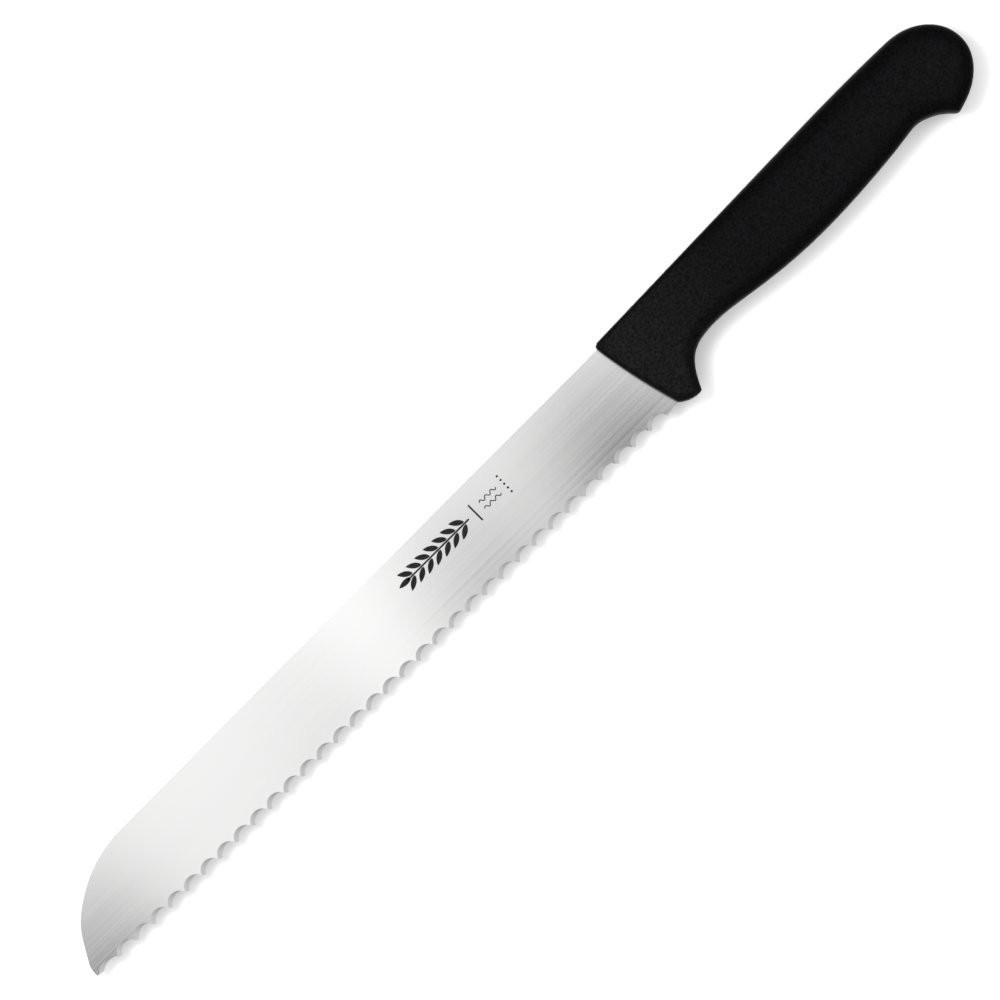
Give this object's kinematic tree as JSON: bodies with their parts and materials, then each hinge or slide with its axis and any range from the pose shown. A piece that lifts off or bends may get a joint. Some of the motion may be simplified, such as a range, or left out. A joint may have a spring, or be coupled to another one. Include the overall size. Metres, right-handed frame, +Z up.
{
  "type": "bread knife",
  "caption": "Bread knife with a long scalloped steel blade and a black moulded plastic handle with a finger guard and a hooked end.",
  "frame": {"origin": "centre of the whole knife's outline, on the surface that the side of the handle lies on", "axes": "+X along the knife from the blade's tip to the handle's end, +Y from the cutting edge to the spine, +Z up, out of the face that the scallops are ground from"},
  "size_m": [0.3524, 0.0324, 0.019],
  "materials": {
    "blade_steel": "satin stainless steel, fine brush lines along the blade",
    "handle_plastic": "black moulded plastic with a fine even grain"
  },
  "bodies": {
    "root": {"blade": "blade_steel", "handle": "handle_plastic"}
  },
  "joints": []
}
